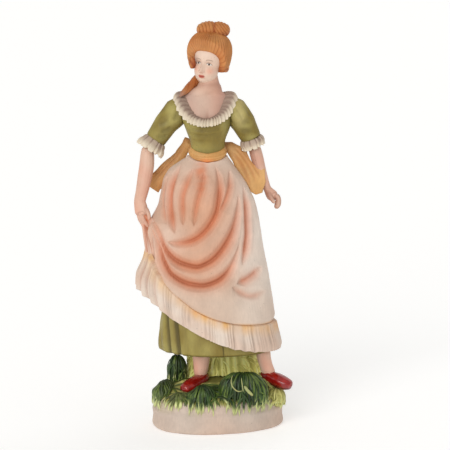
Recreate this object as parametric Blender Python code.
"""Porcelain figurine of a lady in an eighteenth-century dress, who lifts her skirt on a grassy oval base.

The figure is built as the castings and applied pieces that a pottery joins with slip before the firing.
The base, skirts and bodice are hollow castings. Limbs, frills, bow, hair and grass are small solid ones.
Every length below is in millimetres, and MM turns it into metres. +X is the viewer's right, the lady faces -Y
and +Z is up. "right" in a piece's name is the lady's right, so it lies towards -X. Neighbours stay GAP apart.
"""

import math

import bmesh
import bpy
from mathutils import Vector

MM = 0.001

# Driving dimensions
HEIGHT = 250.0  # table to the top of the hair
GAP = 0.3  # joint between two castings
ROOM = 0.4  # joint cut along a face's normals: a little wider, since it narrows at corners
WALL = 3.0  # thickness of the hollow castings
THIN_WALL = 2.2  # thickness of the frills and the sash
PLINTH_TOP = 0.052 * HEIGHT
MOUND_TOP = 0.112 * HEIGHT
HEM = 0.184 * HEIGHT  # underside of the petticoat
SASH_BOTTOM = 0.669 * HEIGHT
WAIST = 0.692 * HEIGHT  # joint of the sash and the bodice
WAIST_DIP = 3.3  # how far the waist points down in front
SHOULDER = 0.812 * HEIGHT  # top edge of the bodice at the shoulders
BUST_DIP = 14.5  # how far the neckline is scooped in front
NECK_TOP = 0.872 * HEIGHT
BODY_X = -5.6  # the waist stands a little towards the viewer's left
BODY_Y = -1.0
SASH_HALF_WIDTH = 10.9
SASH_HALF_DEPTH = 8.4
BASE_X = 0.5
BASE_Y = -6.0
BASE_HALF_WIDTH = 41.6
BASE_HALF_DEPTH = 28.8
BASE_SQUARENESS = 2.2  # the power of the base's oval: 2 is an ellipse
BASE_TURN = math.radians(12.0)  # the base's right end stands further back
COLUMN_X = 4.0
COLUMN_Y = 6.6
VENT_X = 8.0  # the firing vent runs up through the base and the grass column
VENT_Y = 4.0
VENT_RADIUS = 3.0
CENTRE_X = 2.6  # brings the middle of the whole figure above the origin
CENTRE_Y = 2.7

SKIRT_SIDES = 36
BODY_SIDES = 24
LIMB_SIDES = 12

# The skirt, from the sash down: height, left edge, right edge, half depth
SKIRT = (
    (SASH_BOTTOM, -16.4, 5.6, 8.6),
    (165.6, -22.0, 8.2, 10.6),
    (163.0, -26.2, 10.6, 13.4),
    (158.0, -30.0, 13.6, 16.8),
    (152.0, -33.0, 16.8, 19.2),
    (140.0, -35.6, 23.6, 21.6),
    (127.0, -36.6, 26.2, 23.2),
    (102.0, -37.2, 30.2, 25.2),
    (77.0, -38.4, 34.6, 27.2),
    (46.0, -39.6, 38.4, 29.0),
)

# How far the lifted side of the skirt is drawn out: height, distance
DRAWN_OUT = ((138.0, 0.0), (122.0, 8.0), (106.0, 8.6), (92.0, 14.0), (78.0, 9.0), (46.0, 0.0))
DRAWN_OUT_AT = math.radians(194.0)
DRAWN_OUT_SPREAD = math.radians(34.0)

# The bodice, from the waist up: share of its height, left edge, right edge, half depth
BODICE = (
    (0.0, -16.0, 4.8, 7.6),
    (0.14, -16.6, 5.2, 8.0),
    (0.40, -19.6, 8.0, 10.0),
    (0.62, -22.0, 9.4, 11.4),
    (0.82, -23.4, 9.8, 11.0),
    (1.0, -23.8, 9.4, 9.8),
)

FINISHES = {
    "clay": ((0.62, 0.49, 0.40), 0.62),
    "grass_light": ((0.42, 0.42, 0.16), 0.52),
    "grass_dark": ((0.04, 0.13, 0.05), 0.45),
    "skin": ((0.74, 0.50, 0.39), 0.52),
    "red_gloss": ((0.42, 0.02, 0.01), 0.20),
    "green_cloth": ((0.24, 0.23, 0.07), 0.58),
    "white_cloth": ((0.78, 0.66, 0.58), 0.60),
    "peach_cloth": ((0.76, 0.50, 0.36), 0.58),
    "yellow_cloth": ((0.66, 0.40, 0.17), 0.58),
    "hair": ((0.54, 0.24, 0.07), 0.48),
}


plain_forms = {}  # each piece's mesh as it was lofted, by name


# ---------------------------------------------------------------- small tools


def blend(low, high, share):
    """The value that share of the way from low to high."""
    return low + (high - low) * share


def read(rows, key):
    """The rows' values at key, on straight lines between the rows' first values."""
    ordered = sorted(rows)
    key = min(max(key, ordered[0][0]), ordered[-1][0])
    for low, high in zip(ordered, ordered[1:]):
        if key <= high[0]:
            share = (key - low[0]) / (high[0] - low[0])
            return [blend(a, b, share) for a, b in zip(low[1:], high[1:])]
    return list(ordered[-1][1:])


def turns(count):
    """The angles of count points around a ring."""
    return [2.0 * math.pi * i / count for i in range(count)]


def shares(count):
    """Evenly spaced numbers from 0 to 1."""
    return [i / (count - 1) for i in range(count)]


def frontness(angle):
    """1 straight in front, at -Y, and 0 from the sides to the back."""
    return max(-math.sin(angle), 0.0)


def oval(centre, half_width, half_depth, count=BODY_SIDES, power=2.0, turn=0.0):
    """A level ring of points. A power over 2 squares the oval, and turn rotates it."""
    points = []
    for angle in turns(count):
        c, s = math.cos(angle), math.sin(angle)
        across = half_width * math.copysign(abs(c) ** (2.0 / power), c)
        deep = half_depth * math.copysign(abs(s) ** (2.0 / power), s)
        x = across * math.cos(turn) - deep * math.sin(turn)
        y = across * math.sin(turn) + deep * math.cos(turn)
        points.append(Vector(centre) + Vector((x, y, 0.0)))
    return points


def finish_material(finish):
    """The painted bisque or glaze of one colour, shared by its pieces."""
    colour, roughness = FINISHES[finish]
    made = bpy.data.materials.get(finish) or bpy.data.materials.new(finish)
    made.use_nodes = True
    shader = made.node_tree.nodes["Principled BSDF"]
    shader.inputs["Base Color"].default_value = (*colour, 1.0)
    shader.inputs["Roughness"].default_value = roughness
    shader.inputs["Metallic"].default_value = 0.0
    return made


def add_object(name, finish, bm):
    """Makes the bmesh into a named object, with its faces pointing out."""
    bmesh.ops.recalc_face_normals(bm, faces=bm.faces)
    mesh = bpy.data.meshes.new(name)
    bm.to_mesh(mesh)
    bm.free()
    mesh.materials.append(finish_material(finish))
    mesh.shade_smooth()
    mesh.set_sharp_from_angle(angle=math.radians(50.0))
    made = bpy.data.objects.new(name, mesh)
    bpy.context.scene.collection.objects.link(made)
    remember(made)
    return made


def remember(made):
    """Keeps the piece's plain form, which its neighbours are trimmed to, from before it is itself trimmed."""
    plain_forms[made.name] = made.data.copy()


def skin_rings(bm, rings):
    """Rows of faces between neighbouring rings of equal count. Returns the rings' vertices."""
    rows = [[bm.verts.new(point * MM) for point in ring] for ring in rings]
    count = len(rows[0])
    for lower, upper in zip(rows, rows[1:]):
        for i in range(count):
            after = (i + 1) % count
            bm.faces.new((lower[i], lower[after], upper[after], upper[i]))
    return rows


def solid(name, finish, rings):
    """A closed casting lofted through rings, with a fan of faces over each end."""
    bm = bmesh.new()
    rows = skin_rings(bm, rings)
    for row in (rows[0], rows[-1]):
        middle = bm.verts.new(sum((v.co for v in row), Vector()) / len(row))
        for first, second in zip(row, row[1:] + row[:1]):
            bm.faces.new((first, second, middle))
    return add_object(name, finish, bm)


def shell(name, finish, rings, wall):
    """A hollow casting, open at both ends: its outer face lofted through rings, thickened inwards."""
    bm = bmesh.new()
    skin_rings(bm, rings)
    made = add_object(name, finish, bm)
    thicken = made.modifiers.new("Wall", "SOLIDIFY")
    thicken.thickness = wall * MM
    thicken.offset = -1.0
    thicken.use_even_offset = True
    settle(made)
    remember(made)
    return made


def limb(name, finish, stations, across_axis=(1.0, 0.0, 0.0), count=LIMB_SIDES):
    """A casting swept along stations of x, y, z, half width and half thickness, wide towards across_axis."""
    places = [Vector(station[:3]) for station in stations]
    rings = []
    for i, station in enumerate(stations):
        along = (places[min(i + 1, len(places) - 1)] - places[max(i - 1, 0)]).normalized()
        across = Vector(across_axis)
        across = (across - along * across.dot(along)).normalized()
        thick = along.cross(across)
        ring = []
        for angle in turns(count):
            side = across * (station[3] * math.cos(angle)) + thick * (station[4] * math.sin(angle))
            ring.append(places[i] + side)
        rings.append(ring)
    return solid(name, finish, rings)


def egg(name, finish, centre, radii, count=LIMB_SIDES, levels=7):
    """A rounded lump: half width, half depth and half height around its centre."""
    rings = []
    for level in range(1, levels):
        polar = math.pi * level / levels
        middle = Vector(centre) - Vector((0.0, 0.0, radii[2] * math.cos(polar)))
        rings.append(oval(middle, radii[0] * math.sin(polar), radii[1] * math.sin(polar), count))
    return solid(name, finish, rings)


def settle(made):
    """Replaces the object's mesh by its evaluated one, so that its modifiers are used up."""
    graph = bpy.context.evaluated_depsgraph_get()
    mesh = bpy.data.meshes.new_from_object(made.evaluated_get(graph))
    made.modifiers.clear()
    made.data = mesh
    mesh.name = made.name


def keep_largest(made):
    """Drops the chips that a cut left loose, and keeps the body that fills the largest box."""
    bm = bmesh.new()
    bm.from_mesh(made.data)
    bodies, seen = [], set()
    for start in bm.verts:
        if start in seen:
            continue
        body, unread = {start}, [start]
        while unread:
            for link in unread.pop().link_edges:
                for vertex in link.verts:
                    if vertex not in body:
                        body.add(vertex)
                        unread.append(vertex)
        seen |= body
        bodies.append(body)
    largest = max(bodies, key=box_volume)
    bmesh.ops.delete(bm, geom=[v for v in bm.verts if v not in largest], context="VERTS")
    bm.to_mesh(made.data)
    bm.free()


def box_volume(vertices):
    """Volume of the box around the vertices."""
    sides = [max(v.co[i] for v in vertices) - min(v.co[i] for v in vertices) for i in range(3)]
    return sides[0] * sides[1] * sides[2]


def cut(made, cutter):
    """Takes the cutter's shape out of the object."""
    boolean = made.modifiers.new("Cut", "BOOLEAN")
    boolean.operation = "DIFFERENCE"
    boolean.object = cutter
    settle(made)
    keep_largest(made)


def make_room(made, *neighbours):
    """Trims the object around its neighbours, and leaves a joint between them."""
    for neighbour in neighbours:
        grown = bpy.data.objects.new("room", plain_forms[neighbour.name].copy())
        bpy.context.scene.collection.objects.link(grown)
        normals = [vertex.normal.copy() for vertex in grown.data.vertices]
        for vertex, normal in zip(grown.data.vertices, normals):
            vertex.co += normal * ROOM * MM
        cut(made, grown)
        bpy.data.objects.remove(grown)


def rod(centre, radius, low, high):
    """A hidden upright rod that bores a hole when it is cut out of a casting."""
    x, y = centre
    made = solid("rod", "clay", [oval((x, y, z), radius, radius, LIMB_SIDES) for z in (low, high)])
    made.hide_render = True
    made.display_type = "WIRE"
    return made


# ---------------------------------------------------------------- base and grass


def base_oval(z, shrink, count=SKIRT_SIDES):
    """The base's outline at height z, drawn in by shrink."""
    half_width, half_depth = BASE_HALF_WIDTH - shrink, BASE_HALF_DEPTH - shrink
    return oval((BASE_X, BASE_Y, z), half_width, half_depth, count, BASE_SQUARENESS, BASE_TURN)


def make_plinth():
    """The oval foot: a hollow casting, open underneath, with a foot ring, a waisted side and a flat roof."""
    profile = (
        (PLINTH_TOP - WALL, 20.0),
        (PLINTH_TOP - WALL, 6.4),
        (PLINTH_TOP - WALL - 2.0, 4.2),
        (0.0, 4.0),
        (0.0, 1.2),
        (1.4, 0.2),
        (4.4, 0.2),
        (PLINTH_TOP - 4.0, 1.2),
        (PLINTH_TOP - 1.2, 0.7),
        (PLINTH_TOP, 2.0),
        (PLINTH_TOP, 20.0),
    )
    return solid("base_plinth", "clay", [base_oval(z, shrink) for z, shrink in profile])


def make_mound():
    """The low grassy rise that the feet stand on."""
    levels = [
        (PLINTH_TOP + GAP, 1.8),
        (16.0, 0.8),
        (18.6, 1.6),
        (21.2, 5.0),
        (23.6, 10.0),
        (26.0, 15.5),
        (MOUND_TOP, 21.5),
    ]
    return solid("grass_mound", "grass_light", [base_oval(z, shrink, 28) for z, shrink in levels])


def make_column():
    """The tall grass behind the legs: the pillar that carries the skirt. The mound trims its foot."""
    stations = (
        (21.0, 23.4, 7.9),
        (27.0, 22.8, 7.8),
        (36.0, 22.0, 7.6),
        (HEM - GAP, 21.4, 7.4),
    )
    rings = [oval((COLUMN_X, COLUMN_Y, z), width, depth, 20) for z, width, depth in stations]
    return solid("grass_column", "grass_light", rings)


# Tufts: name, finish, centre, half sizes
TUFTS = (
    ("tuft_back_left", "grass_dark", (-25.2, 2.0, 30.5), (5.6, 5.0, 11.8)),
    ("tuft_far_left", "grass_dark", (-33.0, -13.0, 21.5), (6.6, 8.0, 8.0)),
    ("tuft_small", "grass_dark", (-22.5, -24.0, 19.5), (5.6, 5.6, 5.0)),
    ("tuft_front_left", "grass_dark", (-9.5, -26.0, 21.5), (8.6, 6.6, 8.6)),
    ("tuft_front_centre", "grass_dark", (16.0, -22.5, 24.5), (15.0, 8.6, 12.4)),
    ("tuft_front_right", "grass_light", (35.5, -11.0, 17.5), (6.4, 8.0, 6.6)),
    ("tuft_under_shoe", "grass_light", (30.0, -5.5, 24.0), (8.0, 7.0, 7.0)),
)


# ---------------------------------------------------------------- legs and shoes


def make_legs():
    right = ((-9.8, -6.0, HEM - GAP, 5.2, 5.0), (-10.2, -6.5, 38.0, 4.2, 4.2), (-10.6, -8.0, 31.6, 3.4, 3.6))
    left = ((27.6, -5.0, HEM - GAP, 4.6, 4.6), (29.4, -5.6, 38.0, 4.2, 4.2), (31.2, -7.0, 31.8, 4.0, 3.8))
    return [limb("right_leg", "skin", right), limb("left_leg", "skin", left)]


def make_shoes():
    """Pointed shoes. The left one's toe stands out over the edge of the base."""
    right = (
        (-5.4, -4.2, 29.6, 1.4, 2.2),
        (-8.0, -6.2, 29.2, 3.2, 3.6),
        (-12.0, -10.2, 27.2, 3.9, 3.5),
        (-16.6, -14.6, 24.4, 3.4, 2.8),
        (-20.2, -18.0, 22.6, 2.2, 1.9),
        (-22.0, -19.6, 21.8, 0.8, 0.9),
    )
    left = (
        (27.2, -4.4, 29.8, 1.4, 2.2),
        (29.8, -6.0, 29.4, 3.2, 3.6),
        (34.4, -9.0, 27.8, 3.9, 3.4),
        (39.2, -12.2, 25.8, 3.3, 2.8),
        (43.6, -15.0, 24.4, 2.2, 1.9),
        (45.8, -16.4, 24.2, 0.8, 0.9),
    )
    made = []
    for name, stations in (("right_shoe", right), ("left_shoe", left)):
        made.append(limb(name, "red_gloss", stations, across_axis=(0.6, -0.8, 0.0)))
    return made


# ---------------------------------------------------------------- skirts


def skirt_point(angle, z, grow=0.0, drawn=0.0):
    """A point of the skirt's outer face, moved out by grow. drawn of 1 adds the side that the hand lifts."""
    left, right, deep = read(SKIRT, z)
    distance = math.atan2(math.sin(angle - DRAWN_OUT_AT), math.cos(angle - DRAWN_OUT_AT))
    pull = drawn * read(DRAWN_OUT, z)[0] * math.exp(-((distance / DRAWN_OUT_SPREAD) ** 2))
    arm = Vector((math.cos(angle), math.sin(angle), 0.0))
    half = (right - left) / 2.0
    centre = Vector(((left + right) / 2.0, BODY_Y, z))
    return centre + Vector((arm.x * half, arm.y * deep, 0.0)) + arm * (grow + pull)


def seam_height(x):
    """Height of the seam between the overskirt and its frill: it climbs towards the lifted side."""
    return 65.5 + 42.5 * (max(38.0 - x, 0.0) / 82.8) ** 2.9


def frill_height(x):
    """Height of the frill's lower edge."""
    return 48.7 + 42.0 * (max(40.0 - x, 0.0) / 88.0) ** 2.25


def make_overskirt():
    rings = []
    for share in shares(12):
        ring = []
        for angle in turns(SKIRT_SIDES):
            dip = WAIST_DIP * frontness(angle) ** 1.5
            foot = seam_height(skirt_point(angle, 85.0, drawn=1.0).x)
            z = blend(SASH_BOTTOM - GAP - dip, foot, share**0.8)
            point = skirt_point(angle, z + dip * (1.0 - share) ** 2, drawn=1.0)
            ring.append(Vector((point.x, point.y, z)))
        rings.append(ring)
    return shell("overskirt", "peach_cloth", rings, WALL)


def make_flounce():
    """The gathered frill below the overskirt's seam."""
    rings = []
    for share in shares(4):
        ring = []
        for angle in turns(SKIRT_SIDES):
            seam = seam_height(skirt_point(angle, 85.0, drawn=1.0).x) - GAP
            foot = frill_height(skirt_point(angle, 70.0, drawn=1.0).x)
            z = blend(seam, foot, share)
            flare = 1.6 * share
            ring.append(skirt_point(angle, z, grow=flare, drawn=1.0))
        rings.append(ring)
    return shell("skirt_flounce", "white_cloth", rings, THIN_WALL)


def make_petticoat():
    """The underskirt: a deep cup whose floor the legs and the grass column carry."""
    inward = -(WALL + 0.8)
    rings = []
    for z, grow in ((HEM + WALL, -WALL - 5.0), (HEM + WALL + 3.0, -WALL - 0.5), (90.0, -WALL)):
        rings.append([skirt_point(angle, z, inward + grow) for angle in turns(SKIRT_SIDES)])
    for z, grow in ((90.0, 0.0), (76.0, 0.0), (62.0, 0.0), (52.0, 0.0), (HEM + 1.0, -0.4), (HEM, -1.8)):
        rings.append([skirt_point(angle, z, inward + grow) for angle in turns(SKIRT_SIDES)])
    return solid("petticoat", "green_cloth", rings)


def make_gather():
    """The bunch of cloth between the lifting hand and the skirt."""
    stations = (
        (-43.2, -9.0, 131.4, 1.6, 1.6),
        (-41.6, -9.4, 127.0, 3.6, 2.6),
        (-40.6, -9.8, 120.0, 5.4, 3.4),
        (-41.0, -10.2, 112.0, 6.0, 4.0),
    )
    return limb("skirt_gather", "peach_cloth", stations)


# ---------------------------------------------------------------- sash and bow


def make_sash():
    rings = []
    for height, grow in ((0.0, 0.3), (0.3, 0.9), (0.7, 0.7), (1.0, 0.0)):
        ring = []
        for angle in turns(BODY_SIDES):
            x = BODY_X + (SASH_HALF_WIDTH + grow) * math.cos(angle)
            y = BODY_Y + (SASH_HALF_DEPTH + grow) * math.sin(angle)
            dip = WAIST_DIP * frontness(angle) ** 1.5
            ring.append(Vector((x, y, blend(SASH_BOTTOM, WAIST - GAP, height) - dip)))
        rings.append(ring)
    return shell("waist_sash", "yellow_cloth", rings, THIN_WALL)


def make_bow():
    """A knot behind the waist, with one long drooping wing towards each arm."""
    knot = egg("sash_knot", "yellow_cloth", (BODY_X, BODY_Y + 12.4, 169.5), (4.2, 3.4, 4.6))
    left = (
        (0.5, 11.0, 171.6, 3.0, 1.6),
        (7.6, 6.4, 171.8, 3.6, 1.8),
        (13.4, 3.6, 166.8, 5.4, 1.8),
        (18.6, 2.0, 160.4, 7.2, 1.8),
        (22.4, 0.6, 154.0, 8.2, 1.7),
        (25.0, 0.0, 148.4, 5.4, 1.5),
        (26.0, -0.4, 145.2, 2.4, 1.2),
    )
    right = (
        (-11.6, 11.0, 172.6, 3.0, 1.6),
        (-18.0, 8.4, 174.4, 3.8, 1.8),
        (-23.0, 7.6, 167.0, 4.2, 1.8),
        (-30.0, 7.0, 160.0, 5.0, 1.8),
        (-36.0, 6.4, 153.0, 5.4, 1.7),
        (-39.8, 6.0, 147.2, 4.4, 1.4),
    )
    wings = [
        limb("sash_bow_left", "yellow_cloth", left, across_axis=(0.8, 0.1, 0.6)),
        limb("sash_bow_right", "yellow_cloth", right, across_axis=(-0.8, 0.1, 0.6)),
    ]
    return [knot, *wings]


# ---------------------------------------------------------------- bodice, neck and ruffle


def neckline(angle):
    """Height of the bodice's upper edge: scooped low in front."""
    return SHOULDER - BUST_DIP * frontness(angle) ** 1.3


def bodice_point(angle, share, grow=0.0):
    left, right, deep = read(BODICE, share)
    dip = WAIST_DIP * frontness(angle) ** 1.5
    z = blend(WAIST - dip, neckline(angle), share)
    x = (left + right) / 2.0 + ((right - left) / 2.0 + grow) * math.cos(angle)
    y = BODY_Y + (deep + grow) * math.sin(angle)
    return Vector((x, y, z))


def make_bodice():
    rings = []
    for share, _, _, _ in BODICE:
        rings.append([bodice_point(angle, share) for angle in turns(BODY_SIDES)])
    return shell("bodice", "green_cloth", rings, WALL - 0.4)


def make_chest():
    """Neck, shoulders and bust, set into the top of the bodice."""
    rings = []
    for depth, drop in ((-4.6, 12.0), (-3.4, 6.0), (-3.0, 0.0)):
        ring = []
        for angle in turns(BODY_SIDES):
            point = bodice_point(angle, 1.0, depth)
            point.z = neckline(angle) - drop
            ring.append(point)
        rings.append(ring)
    for share, grow in ((0.4, -4.2), (0.8, -6.6)):
        ring = []
        for angle in turns(BODY_SIDES):
            point = bodice_point(angle, 1.0, grow)
            point.z = blend(neckline(angle), SHOULDER + 4.0, share)
            ring.append(point)
        rings.append(ring)
    for z, half_width, half_depth in ((208.6, 6.6, 5.6), (211.0, 5.2, 5.0), (NECK_TOP, 4.8, 4.8)):
        rings.append(oval((-4.8, 0.4, z), half_width, half_depth))
    return solid("neck_and_chest", "skin", rings)


def make_ruffle():
    """The gathered frill that lies round the neckline."""
    rings = []
    for across, lift in ((-1.6, 0.6), (0.2, 1.8), (1.8, 1.0), (2.7, -1.2), (1.8, -2.6), (0.4, -1.2)):
        ring = []
        for angle in turns(BODY_SIDES):
            point = bodice_point(angle, 1.0, across)
            point.z += lift + 0.8
            ring.append(point)
        rings.append(ring)
    bm = bmesh.new()
    rows = skin_rings(bm, rings + rings[:1])
    bmesh.ops.remove_doubles(bm, verts=rows[0] + rows[-1], dist=0.01 * MM)
    return add_object("neck_ruffle", "white_cloth", bm)


# ---------------------------------------------------------------- arms

# The arms, from the shoulder down: x, y, z, half width, half thickness
RIGHT_SLEEVE = (
    (-19.0, 0.0, 197.0, 7.6, 7.4),
    (-24.6, 0.2, 193.8, 8.2, 7.8),
    (-31.4, 0.6, 186.4, 7.0, 7.0),
    (-37.6, 1.0, 176.8, 6.4, 6.6),
)
RIGHT_FOREARM = (
    (-40.0, 0.6, 173.0, 5.0, 5.0),
    (-42.4, 0.0, 167.4, 4.9, 4.9),
    (-43.4, -1.4, 160.4, 4.4, 4.5),
    (-45.2, -3.2, 152.0, 4.0, 4.0),
    (-47.0, -5.0, 145.0, 3.2, 3.1),
    (-47.4, -6.0, 140.6, 3.0, 2.8),
)
RIGHT_HAND = (
    (-47.4, -6.1, 140.2, 3.0, 2.7),
    (-47.0, -6.8, 135.6, 3.6, 2.7),
    (-46.2, -7.6, 130.0, 3.5, 2.5),
    (-46.0, -7.8, 125.4, 2.4, 1.9),
    (-45.6, -8.0, 121.8, 0.9, 0.9),
)
LEFT_SLEEVE = (
    (4.0, 0.4, 197.6, 7.4, 7.4),
    (10.6, 0.8, 194.4, 8.4, 7.8),
    (16.2, 1.6, 187.0, 7.4, 7.2),
    (21.0, 2.6, 177.6, 5.9, 6.4),
)
LEFT_FOREARM = (
    (21.6, 3.0, 174.4, 4.8, 4.9),
    (23.4, 3.6, 168.4, 4.7, 4.8),
    (25.6, 4.6, 161.0, 4.0, 4.2),
    (28.2, 5.6, 154.0, 3.2, 3.4),
    (30.8, 6.2, 147.8, 2.7, 2.7),
)
LEFT_HAND = (
    (31.0, 6.2, 147.4, 2.7, 2.5),
    (33.4, 5.4, 143.2, 4.4, 2.3),
    (36.2, 4.6, 139.4, 3.2, 2.1),
    (37.2, 4.0, 136.4, 1.8, 1.6),
    (37.0, 3.8, 134.2, 0.8, 0.8),
)


def make_arms():
    made = {}
    for side, sleeve, forearm, hand in (
        ("right", RIGHT_SLEEVE, RIGHT_FOREARM, RIGHT_HAND),
        ("left", LEFT_SLEEVE, LEFT_FOREARM, LEFT_HAND),
    ):
        made[side + "_sleeve"] = limb(side + "_sleeve", "green_cloth", sleeve, count=16)
        made[side + "_forearm"] = limb(side + "_forearm", "skin", forearm)
        made[side + "_hand"] = limb(side + "_hand", "skin", hand)
    return made


def make_cuff(name, high, low, radius):
    """A gathered cuff: a short flared ring round the elbow, between two points of the arm."""
    along = (Vector(low) - Vector(high)).normalized()
    across = (Vector((1.0, 0.0, 0.0)) - along * along.x).normalized()
    thick = along.cross(across)
    rings = []
    for share, grow in ((0.0, 0.0), (0.45, 0.9), (1.0, 2.2)):
        middle = Vector(high).lerp(Vector(low), share)
        ring = []
        for angle in turns(BODY_SIDES):
            ring.append(middle + (across * math.cos(angle) + thick * math.sin(angle)) * (radius + grow))
        rings.append(ring)
    return shell(name, "white_cloth", rings, THIN_WALL - 0.6)


# ---------------------------------------------------------------- head and hair

HEAD_AT = (-5.2, -0.4, 224.6)
HAIR_AT = (-4.7, 1.2, 228.0)
HEAD_TURN = math.radians(-22.0)  # the lady looks towards the viewer's left


def make_head():
    """The head with its chin, down to the joint with the neck."""
    levels = (
        (-13.6, -2.4, 3.2, 3.6),
        (-11.4, -1.6, 5.8, 7.0),
        (-7.0, -0.6, 7.8, 9.4),
        (-1.5, 0.0, 8.8, 10.6),
        (4.5, 0.4, 9.1, 11.0),
        (9.5, 0.8, 7.8, 9.6),
        (13.0, 1.0, 4.4, 5.6),
    )
    x, y, z = HEAD_AT
    rings = []
    for dz, back, half_width, half_depth in levels:
        centre = (x - back * math.sin(HEAD_TURN), y + back * math.cos(HEAD_TURN), z + dz)
        rings.append(oval(centre, half_width, half_depth, 20, turn=HEAD_TURN))
    return solid("head", "skin", rings)


def make_hair(head):
    """The swept-up hair: a cap over the head, open at the face."""
    cap = egg("hair", "hair", HAIR_AT, (13.2, 13.0, 13.4), 20, 9)
    x, y, z = HEAD_AT
    reach = 12.6
    face_at = (x + reach * math.sin(HEAD_TURN), y - reach * math.cos(HEAD_TURN), z - 5.0)
    face = egg("face_opening", "skin", face_at, (9.8, 11.6, 13.0), 20, 9)
    cut(cap, face)
    remember(cap)
    bpy.data.objects.remove(face)
    make_room(cap, head)
    return cap


def make_topknot():
    """The two-lobed knot of hair on the crown, swept from left to right."""
    stations = (
        (-11.4, 0.6, 243.4, 2.4, 2.6),
        (-8.8, 0.6, 244.4, 5.2, 5.4),
        (-4.8, 0.6, 244.8, 6.4, 5.4),
        (-2.0, 0.6, 244.6, 6.0, 4.8),
        (1.4, 0.6, 244.6, 6.2, 5.2),
        (4.8, 0.6, 244.0, 4.8, 4.6),
        (7.0, 0.6, 243.0, 2.2, 2.4),
    )
    return limb("topknot", "hair", stations, across_axis=(0.0, 1.0, 0.0))


def make_locks():
    """A curl before each ear, and the long lock that lies over the right shoulder."""
    shoulder = (
        (-5.0, 10.4, 219.0, 2.2, 1.6),
        (-8.4, 9.0, 215.6, 4.2, 3.0),
        (-12.4, 5.4, 212.6, 4.0, 3.2),
        (-15.8, 1.2, 210.6, 3.6, 3.0),
        (-19.0, -2.6, 208.2, 3.0, 2.6),
        (-21.6, -5.2, 205.2, 1.8, 1.6),
        (-22.6, -6.4, 203.2, 0.6, 0.6),
    )
    return [
        egg("right_curl", "hair", (-16.2, -4.4, 223.4), (2.6, 3.2, 4.6)),
        egg("left_curl", "hair", (6.4, -1.6, 221.0), (2.7, 3.4, 4.6)),
        limb("shoulder_lock", "hair", shoulder),
    ]


# ---------------------------------------------------------------- the figurine


def main():
    for leftover in list(bpy.data.objects):
        bpy.data.objects.remove(leftover)

    plinth = make_plinth()
    mound = make_mound()
    column = make_column()
    shoes = make_shoes()
    legs = make_legs()
    petticoat = make_petticoat()
    overskirt = make_overskirt()
    flounce = make_flounce()
    gather = make_gather()
    sash = make_sash()
    knot, wing_left, wing_right = make_bow()
    bodice = make_bodice()
    chest = make_chest()
    ruffle = make_ruffle()
    arms = make_arms()
    right_cuff = make_cuff("right_cuff", (-38.2, 0.9, 175.6), (-42.2, 0.3, 169.6), 6.2)
    left_cuff = make_cuff("left_cuff", (21.2, 2.8, 176.6), (23.0, 3.4, 171.4), 6.0)
    head = make_head()
    hair = make_hair(head)
    topknot = make_topknot()
    right_curl, left_curl, shoulder_lock = make_locks()

    tufts = [egg(*row) for row in TUFTS]
    vent = rod((VENT_X, VENT_Y), VENT_RADIUS, PLINTH_TOP - 2.0 * WALL, HEM + 2.0 * WALL)
    for pierced in (plinth, mound, column, petticoat):
        cut(pierced, vent)
    bpy.data.objects.remove(vent)

    for shoe, leg in zip(shoes, legs):
        make_room(leg, shoe, petticoat)
        make_room(mound, shoe)
    make_room(column, mound, *legs)
    make_room(flounce, overskirt)
    for i, tuft in enumerate(tufts):
        make_room(tuft, mound, plinth, column, *shoes, *legs, *tufts[:i])
    make_room(chest, bodice)
    make_room(topknot, hair)
    make_room(head, chest)
    make_room(hair, chest)
    make_room(right_curl, head, hair)
    make_room(left_curl, head, hair)
    make_room(ruffle, bodice, chest)
    make_room(shoulder_lock, head, hair, chest, ruffle, right_curl)
    for side, cuff in (("right", right_cuff), ("left", left_cuff)):
        sleeve = arms[side + "_sleeve"]
        make_room(sleeve, bodice, chest, ruffle, cuff, arms[side + "_forearm"])
        make_room(cuff, arms[side + "_forearm"])
        make_room(arms[side + "_hand"], arms[side + "_forearm"])
    make_room(shoulder_lock, arms["right_sleeve"])
    make_room(gather, overskirt, flounce, arms["right_hand"])
    make_room(knot, sash, overskirt, bodice)
    for wing, cuff, forearm in (
        (wing_left, left_cuff, "left_forearm"),
        (wing_right, right_cuff, "right_forearm"),
    ):
        make_room(wing, knot, sash, overskirt, bodice, cuff, arms[forearm])

    figurine = bpy.data.objects.new("figurine", None)
    bpy.context.scene.collection.objects.link(figurine)
    figurine.location = (CENTRE_X * MM, CENTRE_Y * MM, 0.0)
    for made in bpy.data.objects:
        if made.type == "MESH":
            made.parent = figurine


main()
